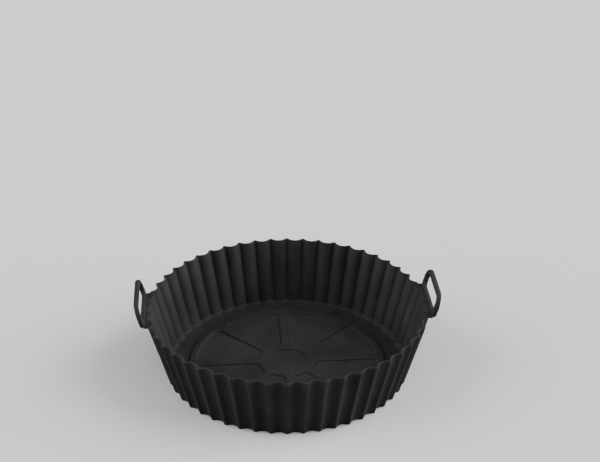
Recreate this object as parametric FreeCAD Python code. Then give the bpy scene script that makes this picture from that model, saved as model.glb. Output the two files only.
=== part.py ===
import FreeCAD, Part
import math
import os

# Round pleated liner for an air fryer basket, moulded in one piece from soft
# silicone rubber: a tapered bowl with fifty pleats, a raised wheel pattern on
# its floor, and two pull loops that stand on flat webs at the rim.
# Millimetres, +Z up. The origin is at the centre of the underside, and the
# pull loops stand on the X axis.

# Bowl
rim_radius = 100.0          # over the pleat ridges, at the top
base_radius = 86.2          # over the pleat ridges, at the underside
bowl_height = 49.0
wall = 1.1                  # across the wall
floor_thickness = 1.6
toe_radius = 3.0            # rounding between the wall and the floor, inside
toe_steps = 2               # bands that make up that rounding

# Pleats
pleats = 50
flute_depth_rim = 3.2       # from ridge to hollow, outside
flute_depth_base = 2.4
ridge_radius = 1.4          # outside; the groove inside each ridge comes to a point

# Wheel pattern on the floor
relief_height = 1.1
wheel_radius = 70.4
wheel_band = 4.9
hub_radius = 20.4
hub_band = 5.7
spokes = 8
spoke_width = 5.2
panel_outer_round = 3.8
panel_inner_round = 2.8

# Webs and pull loops
web_width = 47.0
web_thickness = 1.5
web_root = 9.6              # from the ridge circle in to the web's start, clear of the wall
web_overhang = 0.5          # from the ridge circle to the middle of the loop's thickness, at its foot
loop_thickness = 2.9        # across the loop's plane
loop_bevel = 0.8
loop_reach = 17.2           # from the loop's foot to its outer edge, along its plane
loop_lean = 74.0            # degrees that the loop's plane stands up from the rim
loop_width_foot = 47.0      # across the loop at its foot, before the corners are rounded
loop_width_tip = 48.2       # the same at its outer edge
loop_round_foot = 4.0
loop_round_tip = 10.4
side_bar = 4.3              # width of the two side bars, in the loop's plane
outer_bar = 3.5
foot_bar = 2.3
opening_round_foot = 3.4
opening_round_tip = 3.8

pitch_angle = 2 * math.pi / pleats
taper = math.atan((rim_radius - base_radius) / bowl_height)
skin = wall / math.cos(taper)
foot_x = rim_radius + web_overhang
foot_z = bowl_height - web_thickness        # the loop's foot is level with the underside of the web


def polar(radius, angle, z):
    return FreeCAD.Vector(radius * math.cos(angle), radius * math.sin(angle), z)


def flute_at(z):
    """How far a flute's centre is from the axis, and the flute's own radius, at height z."""
    share = z / bowl_height
    ridge = base_radius + (rim_radius - base_radius) * share
    depth = flute_depth_base + (flute_depth_rim - flute_depth_base) * share
    hollow = ridge - depth
    ridge_centre = ridge - ridge_radius
    level = ridge_centre * math.cos(pitch_angle / 2)
    span = ridge_radius ** 2 - ridge_centre ** 2 - hollow ** 2 + 2 * level * hollow
    flute_radius = span / (2 * (hollow - level - ridge_radius))
    return hollow + flute_radius, flute_radius


def pleat_wire(z, inset=0.0, tip_radius=0.0):
    """The pleated outline at height z, moved in by inset, with ridges of the given radius.

    Every flute is an arc about a centre outside the wall, and every ridge is
    a small arc tangent to the two flutes beside it. With no radius the flutes
    meet in a point, as they do on the inside.
    """
    flute_centre, flute_radius = flute_at(z)
    flute_radius += inset
    half = pitch_angle / 2
    reach = flute_radius + tip_radius
    across = flute_centre * math.sin(half)
    tip_centre = flute_centre * math.cos(half) - math.sqrt(reach ** 2 - across ** 2)
    edges = []
    for index in range(pleats):
        ridge_angle = index * pitch_angle
        tip = polar(tip_centre, ridge_angle, z)
        joins = []
        for side in (-1, 1):
            centre = polar(flute_centre, ridge_angle + side * half, z)
            joins.append(tip + (centre - tip) * (tip_radius / reach))
        if tip_radius > 0:
            crest = polar(tip_centre + tip_radius, ridge_angle, z)
            edges.append(Part.Arc(joins[0], crest, joins[1]).toShape())
        hollow = polar(flute_centre - flute_radius, ridge_angle + half, z)
        turn = FreeCAD.Rotation(FreeCAD.Vector(0, 0, 1), math.degrees(pitch_angle))
        edges.append(Part.Arc(joins[1], hollow, turn.multVec(joins[0])).toShape())
    return Part.Wire(edges)


def bowl_outside():
    """The bowl's outer form, filled."""
    sections = [pleat_wire(z, tip_radius=ridge_radius) for z in (0, bowl_height)]
    return Part.makeLoft(sections, True, True)


def bowl_inside():
    """The space in the bowl: a rounded toe at the floor, then the straight tapered wall."""
    toe_centre = floor_thickness + toe_radius
    sections = []
    for step in range(toe_steps + 1):
        swing = -math.pi / 2 + (math.pi / 2 - taper) * step / toe_steps
        drop = toe_radius * math.sin(swing)
        inset = drop * math.tan(taper) + toe_radius / math.cos(taper) - toe_radius * math.cos(swing)
        sections.append(pleat_wire(toe_centre + drop, skin + inset))
    sections.append(pleat_wire(bowl_height, skin))
    return Part.makeLoft(sections, True, True)


def corner_edges(panel, at_hub):
    """The upright corner edges of a panel, at its hub end or at its ring end."""
    middle = (hub_radius + wheel_radius - wheel_band) / 2
    upright = [edge for edge in panel.Edges if edge.BoundBox.ZLength > relief_height]
    chosen = []
    for edge in upright:
        place = edge.CenterOfMass
        near_hub = math.hypot(place.x, place.y) < middle
        if near_hub == at_hub:
            chosen.append(edge)
    return chosen


def floor_panel():
    """One hollow between two spokes, with rounded corners, as a solid to cut from the wheel.

    It is twice as tall as the wheel stands, so that it cuts through the top.
    """
    half = math.pi / spokes
    ring_inner = wheel_radius - wheel_band
    apex = polar(spoke_width / 2 / math.sin(half), half, floor_thickness)
    past_ring = 2 * ring_inner
    along_spokes = [apex + polar(past_ring, angle, 0) for angle in (0, 2 * half)]
    wedge = Part.makePolygon([apex, *along_spokes, apex])
    cut_height = 2 * relief_height
    panel = Part.Face(wedge).extrude(FreeCAD.Vector(0, 0, cut_height))
    panel = panel.common(Part.makeCylinder(ring_inner, cut_height, polar(0, 0, floor_thickness)))
    panel = panel.cut(Part.makeCylinder(hub_radius, cut_height, polar(0, 0, floor_thickness)))
    panel = panel.makeFillet(panel_outer_round, corner_edges(panel, False))
    return panel.makeFillet(panel_inner_round, corner_edges(panel, True))


def floor_wheel():
    """The raised wheel: a ring, a hub ring and the spokes between them.

    It is sunk half-way into the floor, so that the two join.
    """
    sunk = floor_thickness / 2
    wheel = Part.makeCylinder(wheel_radius, sunk + relief_height, polar(0, 0, floor_thickness - sunk))
    hub_inner = hub_radius - hub_band
    hollows = [Part.makeCylinder(hub_inner, 2 * relief_height, polar(0, 0, floor_thickness))]
    panel = floor_panel()
    for index in range(spokes):
        hollow = panel.copy()
        hollow.rotate(FreeCAD.Vector(0, 0, 0), FreeCAD.Vector(0, 0, 1), 360 * index / spokes)
        hollows.append(hollow)
    return wheel.cut(hollows)


def rounded_frame(corners, rounds):
    """A closed flat wire of straight runs through the corners, with an arc at each."""
    count = len(corners)
    bends = []
    for index, (corner, bend_radius) in enumerate(zip(corners, rounds)):
        back = (corners[index - 1] - corner).normalize()
        ahead = (corners[(index + 1) % count] - corner).normalize()
        half = back.getAngle(ahead) / 2
        run = bend_radius / math.tan(half)
        depth = bend_radius / math.sin(half) - bend_radius
        middle = corner + (back + ahead).normalize() * depth
        bends.append((corner + back * run, middle, corner + ahead * run))
    edges = []
    for index, (start, middle, end) in enumerate(bends):
        edges.append(Part.Arc(start, middle, end).toShape())
        edges.append(Part.LineSegment(end, bends[(index + 1) % count][0]).toShape())
    return Part.Wire(edges)


def bevelled_plate(outline, shrink):
    """A plate as thick as the loop, with its outline moved in by shrink (or out, if negative) at both faces."""
    levels = ((0, shrink), (loop_bevel, 0), (loop_thickness - loop_bevel, 0), (loop_thickness, shrink))
    sections = []
    for height, less in levels:
        section = outline.makeOffset2D(-less) if less else outline.copy()
        section.translate(FreeCAD.Vector(0, 0, height))
        sections.append(section)
    return Part.makeLoft(sections, True, True)


def trapezium(near, far, half_near, half_far):
    """The four corners of the loop's outline or opening, from the foot's end to the tip's."""
    return [
        FreeCAD.Vector(near, -half_near, 0),
        FreeCAD.Vector(far, -half_far, 0),
        FreeCAD.Vector(far, half_far, 0),
        FreeCAD.Vector(near, half_near, 0),
    ]


def pull_loop():
    """The loop on the +X side: a flat frame with bevelled edges that leans outwards from the web."""
    half_foot = loop_width_foot / 2
    half_tip = loop_width_tip / 2
    slope = (half_foot - half_tip) / loop_reach
    side = side_bar * math.sqrt(1 + slope ** 2)
    far = loop_reach - outer_bar
    outline = rounded_frame(
        trapezium(0, loop_reach, half_foot, half_tip),
        (loop_round_foot, loop_round_tip, loop_round_tip, loop_round_foot))
    opening = rounded_frame(
        trapezium(foot_bar, far, half_foot - side - slope * foot_bar, half_foot - side - slope * far),
        (opening_round_foot, opening_round_tip, opening_round_tip, opening_round_foot))
    loop = bevelled_plate(outline, loop_bevel).cut(bevelled_plate(opening, -loop_bevel))
    loop.translate(FreeCAD.Vector(0, 0, -loop_thickness / 2))
    loop.rotate(FreeCAD.Vector(0, 0, 0), FreeCAD.Vector(0, 1, 0), -loop_lean)
    loop.translate(FreeCAD.Vector(foot_x, 0, foot_z))
    return loop


def web():
    """The flat plate on the +X side that fills the flutes up to the loop's foot.

    It starts inside the bowl, and the bowl's space trims it to the wall.
    """
    inner_x = rim_radius - web_root
    corner = FreeCAD.Vector(inner_x, -web_width / 2, bowl_height - web_thickness)
    return Part.makeBox(foot_x - inner_x, web_width, web_thickness, corner)


def liner():
    handles = []
    for turn in (0, 180):
        for piece in (web(), pull_loop()):
            piece.rotate(FreeCAD.Vector(0, 0, 0), FreeCAD.Vector(0, 0, 1), turn)
            handles.append(piece)
    body = bowl_outside().fuse(handles)
    body = body.cut(bowl_inside())
    body = body.fuse(floor_wheel())
    return body.removeSplitter()


os.makedirs("parts", exist_ok=True)
shape = liner()
if len(shape.Solids) != 1:
    raise ValueError("the liner came out in more than one piece")
body = shape.Solids[0]
body.exportStep("parts/liner.step")
box = body.BoundBox
print("valid", body.isValid(), "faces", len(body.Faces), "volume", round(body.Volume), "mm3")
print("box", [round(side, 2) for side in (box.XLength, box.YLength, box.ZLength)])
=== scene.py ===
import math

import bmesh
import bpy
from bpy.props import FloatProperty, FloatVectorProperty, IntProperty, PointerProperty
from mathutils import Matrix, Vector


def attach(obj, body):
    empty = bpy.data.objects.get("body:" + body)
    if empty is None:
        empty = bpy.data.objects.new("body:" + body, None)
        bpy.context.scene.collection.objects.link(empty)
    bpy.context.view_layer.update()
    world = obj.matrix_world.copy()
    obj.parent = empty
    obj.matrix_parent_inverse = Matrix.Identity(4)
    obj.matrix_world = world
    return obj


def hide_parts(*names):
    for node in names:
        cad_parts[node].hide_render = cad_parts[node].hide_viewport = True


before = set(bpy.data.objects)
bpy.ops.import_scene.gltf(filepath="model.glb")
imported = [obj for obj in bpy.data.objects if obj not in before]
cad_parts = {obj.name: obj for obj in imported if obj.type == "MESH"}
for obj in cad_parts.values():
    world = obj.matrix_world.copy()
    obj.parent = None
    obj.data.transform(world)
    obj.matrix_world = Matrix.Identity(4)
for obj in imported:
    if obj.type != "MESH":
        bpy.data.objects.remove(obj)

# Round pleated liner for an air fryer basket, moulded in one piece from soft
# silicone rubber. The origin is at the centre of the underside, +Z is up out
# of the bowl, and the pull loops stand on the X axis. Everything is in metres.

bl_info = {
    "name": "Pleated silicone liner",
    "version": (1, 0, 0),
    "blender": (4, 5, 0),
    "location": "3D View > Sidebar > Liner",
    "description": "Models a pleated silicone liner with its pull loops, and a plain stage for it",
    "category": "Add Mesh",
}

LINER_NAME = "liner_moulding"
MM = 0.001
UP = Vector((0, 0, 1))
ORIGIN = Vector((0, 0, 0))
CHAIN = "chain"         # the vertex layer that numbers the chains of a pleat
MERGE_DISTANCE = 0.002 * MM
POINT_SIZE = 0.1 * MM   # of the square that is merged to one point
SMOOTH_ANGLE = math.radians(38)     # faces that meet at less are shaded as one
SHARP_ANGLE = math.radians(60)      # edges of the loop that bend more are rounded
FLUTE_STEPS = 7         # edges along half a flute
RIDGE_STEPS = 8         # edges round a ridge
PLEAT_STEPS = 2 * FLUTE_STEPS + RIDGE_STEPS
CORNER_STEPS = 6        # edges round a panel's corner
HUB_STEPS = 96          # edges round the hub's hollow
BEND_STEPS = 10         # edges round a corner of the pull loop
BASE_STEPS = 4          # bands of the rounding under the wall
RIM_OUTER_STEPS = 5     # bands of the rim's rounding, outside
RIM_INNER_STEPS = 4     # the same, inside
TOE_STEPS = 7           # bands of the toe
RELIEF_STEPS = 3        # bands of each of the wheel's two small roundings
WEB_CORNER_STEPS = 6    # bands of the roundings of the webs and the loops
WEB_EDGE_STEPS = 3
LOOP_EDGE_STEPS = 4
WEB_PLEATS = 5          # pleats that the web's inner edge follows, before it is cut to width
UNDERSIDE_SHARE = 0.9   # of the base radius, where the underside turns from pleats to a circle
WEB_STEP = 0.02 * MM    # from the rim down to the web's top
WEB_SHARE = 0.5         # of the wall, where the web starts
# The camera was fitted to the liner's outline in the photograph, and its lens
# and turn were then set to share out the difference left.
CAMERA_PLACE = (-0.0506, -0.803, 0.5306)
CAMERA_TURN = tuple(math.radians(angle) for angle in (62.259, -0.083, -4.207))
CAMERA_LENS = 79.75     # millimetres
SENSOR_WIDTH = 36
RUBBER_IOR = 1.41       # silicone rubber
RUBBER_GLOSS = 0.1      # well under the usual 0.5, set together with the lights to match the photograph
FILM_SCALE = 28.0       # patches of about 36 mm, as the scale is per metre
GRAIN_SCALE = 1400.0    # 0.7 mm; real blasting is nearer 0.1 mm, which is too fine to show
GRAIN_DEPTH = 0.05 * MM
PAPER_ROUGHNESS = 0.9
PAPER_GLOSS = 0.1
ROOM_STRENGTH = 0.45    # of the even light all round
LIGHT_SPREAD = math.radians(64)     # of every light, as a wide soft box has
LIGHTS = (
    # name, bearing it comes from (anticlockwise from +X) and height, in degrees, strength, colour
    ("key_right", 0, 25, 14.6, "eaf5ff"),
    ("fill_left", 180, 25, 9.4, "f0faff"),
    ("top_front", 300, 65, 2.5, "ffeee4"),
)


def length(name, description, millimetres):
    """A size property, given in millimetres and kept in metres."""
    return FloatProperty(name=name, description=description, default=millimetres * MM, unit="LENGTH", precision=5)


def colour(name, description, hex_colour):
    """A colour property, given as an sRGB hex value and kept linear."""
    return FloatVectorProperty(
        name=name, description=description, default=linear(hex_colour), size=3, subtype="COLOR", min=0, max=1)


def linear(hex_colour):
    """The linear red, green and blue of an sRGB hex value."""
    channels = [int(hex_colour[start:start + 2], 16) / 255 for start in (0, 2, 4)]
    return tuple(c / 12.92 if c <= 0.04045 else ((c + 0.055) / 1.055) ** 2.4 for c in channels)


# Sizes

class BowlSizes(bpy.types.PropertyGroup):
    rim_radius: length("Rim radius", "Over the pleat ridges, at the top", 100)
    base_radius: length("Base radius", "Over the pleat ridges, at the underside", 86.2)
    height: length("Height", "From the underside to the rim", 49)
    wall: length("Wall", "Thickness across the wall", 1.1)
    floor_thickness: length("Floor thickness", "Thickness of the floor beside the wheel pattern", 1.6)
    rim_round: length("Rim rounding", "Rounding of the rim's two edges", 0.5)
    base_round: length("Base rounding", "Rounding between the wall and the underside", 0.75)
    toe_round: length("Toe rounding", "Rounding between the wall and the floor, inside", 3)
    pleats: IntProperty(name="Pleats", description="Number of pleats round the wall", default=50, min=12)
    flute_depth_rim: length("Flute depth at the rim", "From ridge to hollow, outside", 3.2)
    flute_depth_base: length("Flute depth at the base", "From ridge to hollow, outside", 2.4)
    ridge_radius: length("Ridge radius", "Outer radius of a ridge", 1.7)
    groove_radius: length("Groove radius", "Smallest radius of the groove behind each ridge, inside", 1.0)


class WheelSizes(bpy.types.PropertyGroup):
    relief: length("Relief", "How far the wheel stands above the floor", 1.1)
    radius: length("Wheel radius", "Over the wheel's outer ring", 70.4)
    band: length("Ring width", "Width of the wheel's outer ring", 4.9)
    hub_radius: length("Hub radius", "Over the hub ring", 20.4)
    hub_band: length("Hub ring width", "Width of the hub ring", 5.7)
    spokes: IntProperty(name="Spokes", description="Number of spokes", default=8, min=3)
    spoke_width: length("Spoke width", "Width of a spoke", 5.2)
    outer_corner: length("Outer corner", "Corner radius of a panel, at the ring", 3.8)
    inner_corner: length("Inner corner", "Corner radius of a panel, at the hub", 2.8)
    edge: length("Edge rounding", "Rounding along the relief's upper edges", 0.5)
    foot: length("Foot rounding", "Rounding where the relief meets the floor", 0.55)


class HandleSizes(bpy.types.PropertyGroup):
    web_width: length("Web width", "Width of the flat web at the rim", 46.6)
    web_thickness: length("Web thickness", "Thickness of the web", 1.5)
    web_corner: length("Web corner", "Rounding of the web's outer corners, seen from above", 0.8)
    web_edge: length("Web edge rounding", "Rounding along the web's ends", 0.4)
    overhang: length("Overhang", "From the ridge circle to the middle of the loop's thickness, at its foot", 0.36)
    thickness: length("Loop thickness", "Thickness across the loop's plane", 3.1)
    loop_edge: length("Loop edge rounding", "Rounding along the loop's edges", 0.85)
    reach: length("Reach", "From the loop's foot to its outer edge, along its plane", 17.15)
    lean: FloatProperty(
        name="Lean", description="How far the loop's plane stands up from the rim's plane",
        default=math.radians(74), subtype="ANGLE")
    width_foot: length("Foot width", "Across the loop at its foot, before the corners are rounded", 47)
    width_tip: length("Tip width", "Across the loop at its outer edge, before the corners are rounded", 48.2)
    round_foot: length("Foot corner", "Radius of the loop's two corners at its foot", 2.6)
    round_tip: length("Tip corner", "Radius of the loop's two outer corners", 10.4)
    side_bar: length("Side bar", "Width of the two side bars, in the loop's plane", 4.7)
    outer_bar: length("Outer bar", "Width of the outer bar, in the loop's plane", 3.7)
    foot_bar: length("Foot bar", "Width of the bar at the foot, in the loop's plane", 2.5)
    opening_foot: length("Opening's foot corner", "Radius of the opening's corners at the foot", 3.4)
    opening_tip: length("Opening's tip corner", "Radius of the opening's outer corners", 3.8)


class SiliconeFinish(bpy.types.PropertyGroup):
    shade: colour("Shade", "The rubber's own charcoal black", "131210")
    bloom: colour("Bloom", "The paler film that silicone shows where it has been touched", "1d1b1a")


class StageSizes(bpy.types.PropertyGroup):
    floor_half: length("Floor half width", "Half the side of the square floor", 9000)
    floor_shade: colour("Floor colour", "The plain pale floor", "979592")


# Small modelling tools

def start_piece(name):
    """An empty mesh object at the origin, in edit mode."""
    bpy.ops.object.select_all(action="DESELECT")
    bpy.ops.mesh.primitive_plane_add(size=MM, location=ORIGIN)
    piece = bpy.context.object
    piece.name = piece.data.name = name
    bpy.ops.object.mode_set(mode="EDIT")
    bpy.ops.mesh.select_all(action="SELECT")
    bpy.ops.mesh.delete(type="VERT")
    return piece


def start_point(place):
    """One selected vertex: a small square whose corners are merged."""
    bpy.ops.mesh.select_mode(type="VERT")
    bpy.ops.mesh.select_all(action="DESELECT")
    bpy.ops.mesh.primitive_plane_add(size=POINT_SIZE, location=place)
    bpy.ops.mesh.merge(type="CENTER")


def turn_on(centre, angle, steps):
    """Draws the selected vertex along a level arc, anticlockwise about the centre."""
    bpy.ops.mesh.spin(steps=steps, angle=-angle, center=centre, axis=UP)


def draw_to(offset):
    """Extrudes the selected vertex or edges along a straight run."""
    bpy.ops.mesh.extrude_region_move(TRANSFORM_OT_translate={"value": offset})


def tag_new(piece, number):
    """Numbers the vertices that have no number yet, so that a chain can be found again."""
    mesh = bmesh.from_edit_mesh(piece.data)
    layer = mesh.verts.layers.int.get(CHAIN) or mesh.verts.layers.int.new(CHAIN)
    for vertex in mesh.verts:
        if vertex[layer] == 0:
            vertex[layer] = number


def select_tags(piece, numbers):
    """Selects the edges whose two ends hold the same one of the numbers."""
    bpy.ops.mesh.select_all(action="DESELECT")
    mesh = bmesh.from_edit_mesh(piece.data)
    layer = mesh.verts.layers.int[CHAIN]
    for edge in mesh.edges:
        first, second = (vertex[layer] for vertex in edge.verts)
        if first == second and first in numbers:
            edge.select_set(True)
    bmesh.update_edit_mesh(piece.data)


def select_edges(piece, wanted):
    """Selects the edges for which wanted(edge) is true, and returns how many there are."""
    bpy.ops.mesh.select_all(action="DESELECT")
    bpy.ops.mesh.select_mode(type="EDGE")
    mesh = bmesh.from_edit_mesh(piece.data)
    count = 0
    for edge in mesh.edges:
        if wanted(edge):
            edge.select_set(True)
            count += 1
    bmesh.update_edit_mesh(piece.data)
    return count


def select_vertices(piece, wanted):
    """Selects the vertices for which wanted(vertex) is true."""
    bpy.ops.mesh.select_mode(type="VERT")
    bpy.ops.mesh.select_all(action="DESELECT")
    mesh = bmesh.from_edit_mesh(piece.data)
    for vertex in mesh.verts:
        if wanted(vertex):
            vertex.select_set(True)
    mesh.select_flush_mode()
    bmesh.update_edit_mesh(piece.data)


def polar(radius, angle, z):
    return Vector((radius * math.cos(angle), radius * math.sin(angle), z))


def all_at(edge, z):
    """True if both ends of the edge lie at height z."""
    return all(abs(vertex.co.z - z) < MERGE_DISTANCE for vertex in edge.verts)


# The bowl's outline

def flute_at(bowl, z):
    """How far a flute's centre is from the axis, and the flute's own radius, at height z."""
    half = math.pi / bowl.pleats
    share = z / bowl.height
    ridge = bowl.base_radius + (bowl.rim_radius - bowl.base_radius) * share
    depth = bowl.flute_depth_base + (bowl.flute_depth_rim - bowl.flute_depth_base) * share
    hollow = ridge - depth
    ridge_centre = ridge - bowl.ridge_radius
    level = ridge_centre * math.cos(half)
    span = bowl.ridge_radius ** 2 - ridge_centre ** 2 - hollow ** 2 + 2 * level * hollow
    radius = span / (2 * (hollow - level - bowl.ridge_radius))
    return hollow + radius, radius


def taper_of(bowl):
    return math.atan((bowl.rim_radius - bowl.base_radius) / bowl.height)


def skin_of(bowl):
    """The wall's thickness, measured level."""
    return bowl.wall / math.cos(taper_of(bowl))


def pleat_chain(bowl, z, inset):
    """One pleat of the outline at height z, moved in by inset: half a flute, a ridge and half a flute."""
    half = math.pi / bowl.pleats
    centre, radius = flute_at(bowl, z)
    radius += inset
    tip_radius = max(bowl.ridge_radius - inset, bowl.groove_radius)
    reach = radius + tip_radius
    tip = Vector((centre * math.cos(half) - math.sqrt(reach ** 2 - (centre * math.sin(half)) ** 2), 0, z))
    to_ridge = (Vector((centre * math.cos(half), centre * math.sin(half), z)) - tip)
    ridge_turn = math.atan2(to_ridge.y, to_ridge.x)
    flute_turn = ridge_turn - half
    start_point(polar(centre - radius, -half, z))
    turn_on(polar(centre, -half, z), -flute_turn, FLUTE_STEPS)
    turn_on(tip, 2 * ridge_turn, RIDGE_STEPS)
    turn_on(polar(centre, half, z), -flute_turn, FLUTE_STEPS)


def circle_chain(bowl, z, radius):
    """The part of a plain circle that lies behind one pleat, with as many edges."""
    half = math.pi / bowl.pleats
    start_point(polar(radius, -half, z))
    turn_on(Vector((0, 0, z)), 2 * half, PLEAT_STEPS)


def rounding(start, end, steps):
    """Evenly spaced angles from start to end."""
    return [start + (end - start) * step / steps for step in range(steps + 1)]


def wall_rings(bowl):
    """Height and inset of every pleated ring, from the underside over the rim to the floor."""
    taper = taper_of(bowl)
    slope = math.tan(taper)
    skin = skin_of(bowl)
    rings = []
    for swing in rounding(-math.pi / 2, -taper, BASE_STEPS):
        rise = bowl.base_round * math.sin(swing)
        inset = bowl.base_round / math.cos(taper) + rise * slope - bowl.base_round * math.cos(swing)
        rings.append((bowl.base_round + rise, inset))
    rim = bowl.rim_round
    for swing in rounding(-taper, math.pi / 2, RIM_OUTER_STEPS):
        rise = rim * math.sin(swing)
        inset = rim / math.cos(taper) + rise * slope - rim * math.cos(swing)
        rings.append((bowl.height - rim + rise, inset))
    for swing in rounding(math.pi / 2, math.pi - taper, RIM_INNER_STEPS):
        rise = rim * math.sin(swing)
        inset = skin - rim / math.cos(taper) + rise * slope - rim * math.cos(swing)
        rings.append((bowl.height - rim + rise, inset))
    toe = bowl.toe_round
    for swing in rounding(-taper, -math.pi / 2, TOE_STEPS):
        rise = toe * math.sin(swing)
        inset = skin + toe / math.cos(taper) + rise * slope - toe * math.cos(swing)
        rings.append((bowl.floor_thickness + toe + rise, inset))
    return rings


def relief_path(wheel):
    """Sideways and downward steps from a panel's upper edge to the floor, round its two small fillets."""
    path = []
    for swing in rounding(0, math.pi / 2, RELIEF_STEPS):
        path.append((wheel.edge * math.sin(swing), wheel.edge * (1 - math.cos(swing))))
    for swing in rounding(math.pi / 2, 0, RELIEF_STEPS):
        path.append((
            wheel.edge + wheel.foot * (1 - math.sin(swing)),
            wheel.relief - wheel.foot * (1 - math.cos(swing))))
    return path


class LINER_OT_bowl(bpy.types.Operator):
    """Moulds the bowl: one pleat of the wall, repeated all round, then the floor and its wheel pattern"""
    bl_idname = "liner.bowl"
    bl_label = "Mould the bowl"

    def execute(self, context):
        bowl = context.scene.liner_bowl
        wheel = context.scene.liner_wheel
        top = bowl.floor_thickness + wheel.relief
        piece = start_piece(LINER_NAME)
        self.pleats(piece, bowl, wheel)
        select_edges(piece, lambda edge: edge.is_boundary and all_at(edge, 0))
        bpy.ops.mesh.edge_face_add()
        self.panels(piece, wheel, top)
        self.hub_hollow(piece, wheel, top)
        select_edges(piece, lambda edge: edge.is_boundary and all_at(edge, top))
        bpy.ops.mesh.fill(use_beauty=True)
        close_up(piece)
        bpy.ops.object.mode_set(mode="OBJECT")
        return {"FINISHED"}

    def pleats(self, piece, bowl, wheel):
        """The underside's rim, the wall, the toe and the wheel's outer side: one pleat, then all round."""
        sections = [("circle", 0, UNDERSIDE_SHARE * bowl.base_radius)]
        sections += [("pleat", z, inset) for z, inset in wall_rings(bowl)]
        for across, down in reversed(relief_path(wheel)):
            sections.append(("circle", bowl.floor_thickness + wheel.relief - down, wheel.radius - wheel.edge + across))
        for number, (kind, z, value) in enumerate(sections, start=1):
            if kind == "circle":
                circle_chain(bowl, z, value)
            else:
                pleat_chain(bowl, z, value)
            tag_new(piece, number)
            if number > 1:
                select_tags(piece, (number - 1, number))
                bpy.ops.mesh.bridge_edge_loops()
        bpy.ops.mesh.select_all(action="SELECT")
        repeat_round(bowl.pleats)
        bpy.ops.mesh.select_all(action="SELECT")
        bpy.ops.mesh.remove_doubles(threshold=MERGE_DISTANCE)

    def panels(self, piece, wheel, top):
        """The hollows between the spokes, down from the wheel's top."""
        panel_outline(wheel, top)
        bpy.ops.mesh.select_all(action="DESELECT")
        select_edges(piece, lambda edge: edge.is_wire)
        bpy.ops.mesh.remove_doubles(threshold=MERGE_DISTANCE)
        bpy.ops.mesh.edge_face_add()
        sink(piece, wheel)
        ring_inner = wheel.radius - wheel.band + wheel.edge + MERGE_DISTANCE
        select_vertices(piece, lambda vertex: vertex.co.xy.length < ring_inner and vertex.co.z > MM)
        repeat_round(wheel.spokes)

    def hub_hollow(self, piece, wheel, top):
        """The round hollow inside the hub ring."""
        radius = wheel.hub_radius - wheel.hub_band + wheel.edge
        bpy.ops.mesh.select_all(action="DESELECT")
        bpy.ops.mesh.primitive_circle_add(
            vertices=HUB_STEPS, radius=radius, fill_type="NGON", location=(0, 0, top))
        sink(piece, wheel)


def repeat_round(count):
    """Copies what is selected round the axis, so that there are count of it in all."""
    angle = 2 * math.pi * (count - 1) / count
    bpy.ops.mesh.spin(steps=count - 1, angle=angle, center=ORIGIN, axis=UP, dupli=True)


def close_up(piece):
    """Merges what coincides and turns all faces outwards."""
    bpy.ops.mesh.select_mode(type="VERT")
    bpy.ops.mesh.select_all(action="SELECT")
    bpy.ops.mesh.remove_doubles(threshold=MERGE_DISTANCE)
    bpy.ops.mesh.normals_make_consistent(inside=False)


def sink(piece, wheel):
    """Insets the selected face step by step, down to the floor."""
    bpy.ops.mesh.select_mode(type="FACE")
    mesh = bmesh.from_edit_mesh(piece.data)
    mesh.faces.ensure_lookup_table()
    if [face for face in mesh.faces if face.select][0].normal.z < 0:
        bpy.ops.mesh.flip_normals()
    path = relief_path(wheel)
    for (across, down), (next_across, next_down) in zip(path, path[1:]):
        bpy.ops.mesh.inset(thickness=next_across - across, depth=down - next_down, use_even_offset=True)


def panel_outline(wheel, z):
    """The closed outline of the hollow between two spokes, at the top of the relief."""
    angle = 2 * math.pi / wheel.spokes
    near = wheel.hub_radius - wheel.edge
    far = wheel.radius - wheel.band + wheel.edge
    side = wheel.spoke_width / 2 - wheel.edge
    far_round = wheel.outer_corner + wheel.edge
    near_round = wheel.inner_corner + wheel.edge
    far_x = math.sqrt((far - far_round) ** 2 - (side + far_round) ** 2)
    near_x = math.sqrt((near + near_round) ** 2 - (side + near_round) ** 2)
    far_turn = math.atan2(side + far_round, far_x)
    near_turn = math.atan2(side + near_round, near_x)
    far_centre = Vector((far_x, side + far_round, z))
    near_centre = Vector((near_x, side + near_round, z))
    run = far_x - near_x
    middle = Vector((0, 0, z))

    def mirrored(place):
        along = Vector((math.cos(angle), math.sin(angle), 0))
        across = Vector((math.sin(angle), -math.cos(angle), 0))
        return along * place.x + across * place.y + middle

    start_point((near_x, side, z))
    draw_to((run, 0, 0))
    turn_on(far_centre, math.pi / 2 + far_turn, CORNER_STEPS)
    turn_on(middle, angle - 2 * far_turn, 3 * CORNER_STEPS)
    turn_on(mirrored(far_centre), math.pi / 2 + far_turn, CORNER_STEPS)
    draw_to((-run * math.cos(angle), -run * math.sin(angle), 0))
    turn_on(mirrored(near_centre), math.pi / 2 - near_turn, CORNER_STEPS)
    turn_on(middle, 2 * near_turn - angle, 2 * CORNER_STEPS)
    turn_on(near_centre, math.pi / 2 - near_turn, CORNER_STEPS)


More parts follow.
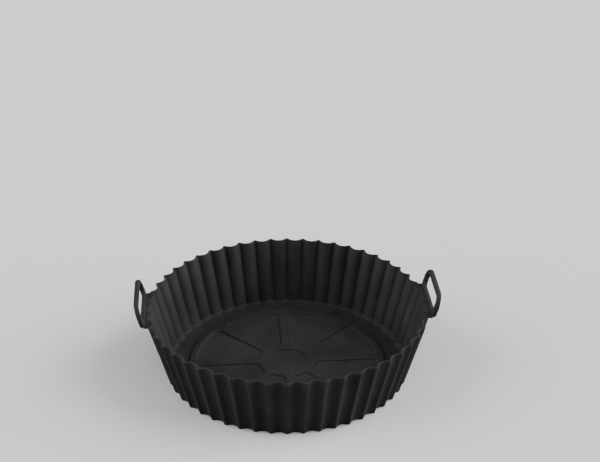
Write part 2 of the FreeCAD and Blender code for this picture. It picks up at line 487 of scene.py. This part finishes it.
class LINER_OT_handles(bpy.types.Operator):
    """Adds a web and a pull loop at each end of the X axis and joins them to the bowl"""
    bl_idname = "liner.handles"
    bl_label = "Add the pull loops"

    def execute(self, context):
        bowl = context.scene.liner_bowl
        handle = context.scene.liner_handle
        liner = bpy.data.objects[LINER_NAME]
        for turn in (0, math.pi):
            for make in (self.web, self.loop):
                part = make(bowl, handle)
                bpy.ops.mesh.select_all(action="SELECT")
                turn_about(ORIGIN, turn, "Z")
                bpy.ops.object.mode_set(mode="OBJECT")
                unite(liner, part)
        return {"FINISHED"}

    def web(self, bowl, handle):
        """The flat plate that fills the flutes at the rim, out to the loop's foot."""
        part = start_piece("web")
        top = bowl.height - WEB_STEP
        pleat_chain(bowl, top, skin_of(bowl) * WEB_SHARE)
        pitch = 2 * math.pi / bowl.pleats
        bpy.ops.mesh.select_all(action="SELECT")
        copies = WEB_PLEATS - 1
        turn_about(ORIGIN, -copies * pitch / 2, "Z")
        bpy.ops.mesh.spin(steps=copies, angle=-copies * pitch, center=ORIGIN, axis=UP, dupli=True)
        bpy.ops.mesh.select_all(action="SELECT")
        bpy.ops.mesh.remove_doubles(threshold=MERGE_DISTANCE)
        half = handle.web_width / 2
        for side in (-1, 1):
            bpy.ops.mesh.select_all(action="SELECT")
            bpy.ops.mesh.bisect(plane_co=(0, side * half, 0), plane_no=(0, side, 0), clear_outer=True)
        foot_x = bowl.rim_radius + handle.overhang
        select_vertices(part, lambda vertex: len(vertex.link_edges) == 1)
        draw_to((0, 0, 0))
        bpy.ops.transform.resize(value=(0, 1, 1), center_override=(foot_x, 0, 0))
        bpy.ops.mesh.edge_face_add()
        bpy.ops.mesh.select_all(action="SELECT")
        bpy.ops.mesh.edge_face_add()
        select_vertices(part, lambda vertex: vertex.co.x > foot_x - MERGE_DISTANCE)
        bpy.ops.mesh.bevel(offset=handle.web_corner, segments=WEB_CORNER_STEPS, affect="VERTICES")
        bpy.ops.mesh.select_all(action="SELECT")
        draw_to((0, 0, -handle.web_thickness))
        close_up(part)
        rounded_from = foot_x - handle.web_corner - MERGE_DISTANCE

        def outline(edge):
            level = abs(edge.verts[0].co.z - edge.verts[1].co.z) < MERGE_DISTANCE
            return level and max(vertex.co.x for vertex in edge.verts) > rounded_from
        select_edges(part, outline)
        bpy.ops.mesh.bevel(offset=handle.web_edge, segments=WEB_EDGE_STEPS, affect="EDGES")
        close_up(part)
        return part

    def loop(self, bowl, handle):
        """The pull loop: a flat frame between an outline and an opening, thickened, rounded and leaned outwards."""
        part = start_piece("loop")
        half_foot, half_tip = handle.width_foot / 2, handle.width_tip / 2
        slope = (half_foot - half_tip) / handle.reach
        side = handle.side_bar * math.sqrt(1 + slope ** 2)
        near, far = handle.foot_bar, handle.reach - handle.outer_bar
        frame_path(0, handle.reach, half_foot, half_tip, handle.round_foot, handle.round_tip)
        frame_path(near, far, half_foot - side - slope * near, half_foot - side - slope * far,
                   handle.opening_foot, handle.opening_tip)
        bpy.ops.mesh.select_all(action="SELECT")
        bpy.ops.mesh.remove_doubles(threshold=MERGE_DISTANCE)
        bpy.ops.mesh.bridge_edge_loops()
        bpy.ops.mesh.select_all(action="SELECT")
        draw_to((0, 0, -handle.thickness))
        close_up(part)
        bpy.ops.transform.translate(value=(0, 0, handle.thickness / 2))
        select_edges(part, lambda edge: edge.calc_face_angle() > SHARP_ANGLE)
        bpy.ops.mesh.bevel(offset=handle.loop_edge, segments=LOOP_EDGE_STEPS, affect="EDGES")
        bpy.ops.mesh.select_all(action="SELECT")
        turn_about(ORIGIN, -handle.lean, "Y")
        bpy.ops.transform.translate(value=(bowl.rim_radius + handle.overhang, 0, bowl.height - handle.web_thickness))
        return part


def frame_path(near, far, half_near, half_far, round_near, round_far):
    """Draws a closed path from near to far, the same on both sides of the X axis, with four rounded corners."""
    corners = [Vector((near, -half_near, 0)), Vector((far, -half_far, 0)),
               Vector((far, half_far, 0)), Vector((near, half_near, 0))]
    rounds = (round_near, round_far, round_far, round_near)
    place = middle = Vector((near, 0, 0))
    start_point(middle)
    for index in range(4):
        corner = corners[index]
        back = (corners[index - 1] - corner).normalized()
        ahead = (corners[(index + 1) % 4] - corner).normalized()
        half = back.angle(ahead) / 2
        run = rounds[index] / math.tan(half)
        centre = corner + (back + ahead).normalized() * (rounds[index] / math.sin(half))
        draw_to(corner + back * run - place)
        turn_on(centre, math.pi - 2 * half, BEND_STEPS)
        place = corner + ahead * run
    draw_to(middle - place)


def turn_about(centre, angle, axis):
    """Turns what is selected anticlockwise about a world axis. With no window the operator turns the other way."""
    bpy.ops.transform.rotate(value=-angle, orient_axis=axis, orient_type="GLOBAL", center_override=centre)


def unite(liner, part):
    """Joins a part to the liner, so that the two make one closed skin."""
    bpy.ops.object.select_all(action="DESELECT")
    liner.select_set(True)
    bpy.context.view_layer.objects.active = liner
    bpy.ops.object.modifier_add(type="BOOLEAN")
    union = liner.modifiers[-1]
    union.operation = "UNION"
    union.solver = "EXACT"
    union.object = part
    bpy.ops.object.modifier_apply(modifier=union.name)
    bpy.data.objects.remove(part)


def add_node(tree, kind, settings=None, links=None):
    """Adds a node with its settings and input values, and links other nodes' outputs to its inputs."""
    node = tree.nodes.new(kind)
    for name, value in (settings or {}).items():
        if hasattr(node, name) and name not in node.inputs:
            setattr(node, name, value)
        else:
            node.inputs[name].default_value = value
    for name, output in (links or {}).items():
        tree.links.new(output, node.inputs[name])
    return node


class LINER_OT_silicone(bpy.types.Operator):
    """Gives the liner its moulded silicone rubber finish and sets it in the frame"""
    bl_idname = "liner.silicone"
    bl_label = "Finish in silicone rubber"

    def execute(self, context):
        finish = context.scene.liner_finish
        liner = bpy.data.objects[LINER_NAME]
        bpy.ops.object.select_all(action="DESELECT")
        liner.select_set(True)
        context.view_layer.objects.active = liner
        bpy.ops.object.shade_smooth_by_angle(angle=SMOOTH_ANGLE)
        liner.data.materials.clear()
        liner.data.materials.append(silicone_rubber(finish))
        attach(liner, "root")
        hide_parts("liner")
        return {"FINISHED"}


def silicone_rubber(finish):
    """Matt charcoal silicone rubber, compression moulded in a sand-blasted steel mould.

    The mould's blasting leaves a fine even grain, so highlights are wide and
    soft. Soft rubber also takes a faint pale film from handling, in patches
    of a few centimetres.
    """
    material = bpy.data.materials.new("moulded_silicone_rubber")
    material.use_nodes = True
    tree = material.node_tree
    tree.nodes.clear()
    place = add_node(tree, "ShaderNodeTexCoord").outputs["Object"]
    film = add_node(
        tree, "ShaderNodeTexNoise", {"Scale": FILM_SCALE, "Detail": 4.0, "Roughness": 0.6}, {"Vector": place})
    film_share = add_node(
        tree, "ShaderNodeMapRange", {"From Min": 0.38, "From Max": 0.72, "To Min": 0.0, "To Max": 1.0},
        {"Value": film.outputs["Fac"]})
    shade = add_node(
        tree, "ShaderNodeMix",
        {"data_type": "RGBA"}, {"Factor": film_share.outputs["Result"]})
    shade.inputs[6].default_value = (*finish.shade, 1)
    shade.inputs[7].default_value = (*finish.bloom, 1)
    roughness = add_node(
        tree, "ShaderNodeMapRange", {"From Min": 0.3, "From Max": 0.75, "To Min": 0.66, "To Max": 0.76},
        {"Value": film.outputs["Fac"]})
    grain = add_node(tree, "ShaderNodeTexNoise", {"Scale": GRAIN_SCALE, "Detail": 2.0}, {"Vector": place})
    bump = add_node(
        tree, "ShaderNodeBump", {"Strength": 0.25, "Distance": GRAIN_DEPTH}, {"Height": grain.outputs["Fac"]})
    shader = add_node(
        tree, "ShaderNodeBsdfPrincipled", {"IOR": RUBBER_IOR, "Specular IOR Level": RUBBER_GLOSS},
        {"Base Color": shade.outputs[2], "Roughness": roughness.outputs["Result"], "Normal": bump.outputs["Normal"]})
    add_node(tree, "ShaderNodeOutputMaterial", links={"Surface": shader.outputs["BSDF"]})
    return material


class LINER_OT_stage(bpy.types.Operator):
    """Adds the pale floor, the soft studio light and the camera"""
    bl_idname = "liner.stage"
    bl_label = "Set the stage"

    def execute(self, context):
        stage = context.scene.liner_stage
        bpy.ops.object.select_all(action="DESELECT")
        bpy.ops.mesh.primitive_plane_add(size=2 * stage.floor_half, location=(0, 0, 0))
        floor = context.object
        floor.name = "floor"
        paint = bpy.data.materials.new("matt_paper")
        paint.use_nodes = True
        shader = paint.node_tree.nodes["Principled BSDF"]
        shader.inputs["Base Color"].default_value = (*stage.floor_shade, 1)
        shader.inputs["Roughness"].default_value = PAPER_ROUGHNESS
        shader.inputs["Specular IOR Level"].default_value = PAPER_GLOSS
        floor.data.materials.append(paint)
        self.lights()
        self.camera(context)
        return {"FINISHED"}

    def lights(self):
        """A dim even room and three wide soft lights: the sides are the strongest, so the front stays dark."""
        world = bpy.data.worlds.new("studio")
        bpy.context.scene.world = world
        world.use_nodes = True
        room = world.node_tree.nodes["Background"]
        room.inputs["Color"].default_value = (1, 1, 1, 1)
        room.inputs["Strength"].default_value = ROOM_STRENGTH
        for name, bearing, height, strength, hex_colour in LIGHTS:
            turn = (0, math.radians(90 - height), math.radians(bearing))
            bpy.ops.object.light_add(type="SUN", rotation=turn)
            lamp = bpy.context.object
            lamp.name = name
            lamp.data.energy = strength
            lamp.data.angle = LIGHT_SPREAD
            lamp.data.color = linear(hex_colour)

    def camera(self, context):
        bpy.ops.object.camera_add(location=CAMERA_PLACE, rotation=CAMERA_TURN)
        camera = context.object
        camera.data.sensor_width = SENSOR_WIDTH
        camera.data.lens = CAMERA_LENS
        context.scene.camera = camera


class LINER_PT_panel(bpy.types.Panel):
    """Lists the liner's steps in the sidebar"""
    bl_idname = "LINER_PT_panel"
    bl_label = "Pleated silicone liner"
    bl_space_type = "VIEW_3D"
    bl_region_type = "UI"
    bl_category = "Liner"

    def draw(self, context):
        layout = self.layout
        for operator in OPERATORS:
            layout.operator(operator.bl_idname)


OPERATORS = (LINER_OT_bowl, LINER_OT_handles, LINER_OT_silicone, LINER_OT_stage)
GROUPS = {
    "liner_bowl": BowlSizes,
    "liner_wheel": WheelSizes,
    "liner_handle": HandleSizes,
    "liner_finish": SiliconeFinish,
    "liner_stage": StageSizes,
}


def register():
    for name, group in GROUPS.items():
        bpy.utils.register_class(group)
        setattr(bpy.types.Scene, name, PointerProperty(type=group))
    for kind in (*OPERATORS, LINER_PT_panel):
        bpy.utils.register_class(kind)


def unregister():
    for kind in (LINER_PT_panel, *reversed(OPERATORS)):
        bpy.utils.unregister_class(kind)
    for name, group in GROUPS.items():
        delattr(bpy.types.Scene, name)
        bpy.utils.unregister_class(group)


def corners(box):
    """A box's two corners as plain lists."""
    return [list(corner) for corner in box]


def main():
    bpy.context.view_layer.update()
    register()
    bpy.ops.liner.bowl()
    bpy.ops.liner.handles()
    bpy.ops.liner.silicone()
    bpy.ops.liner.stage()


if __name__ == "__main__":
    main()
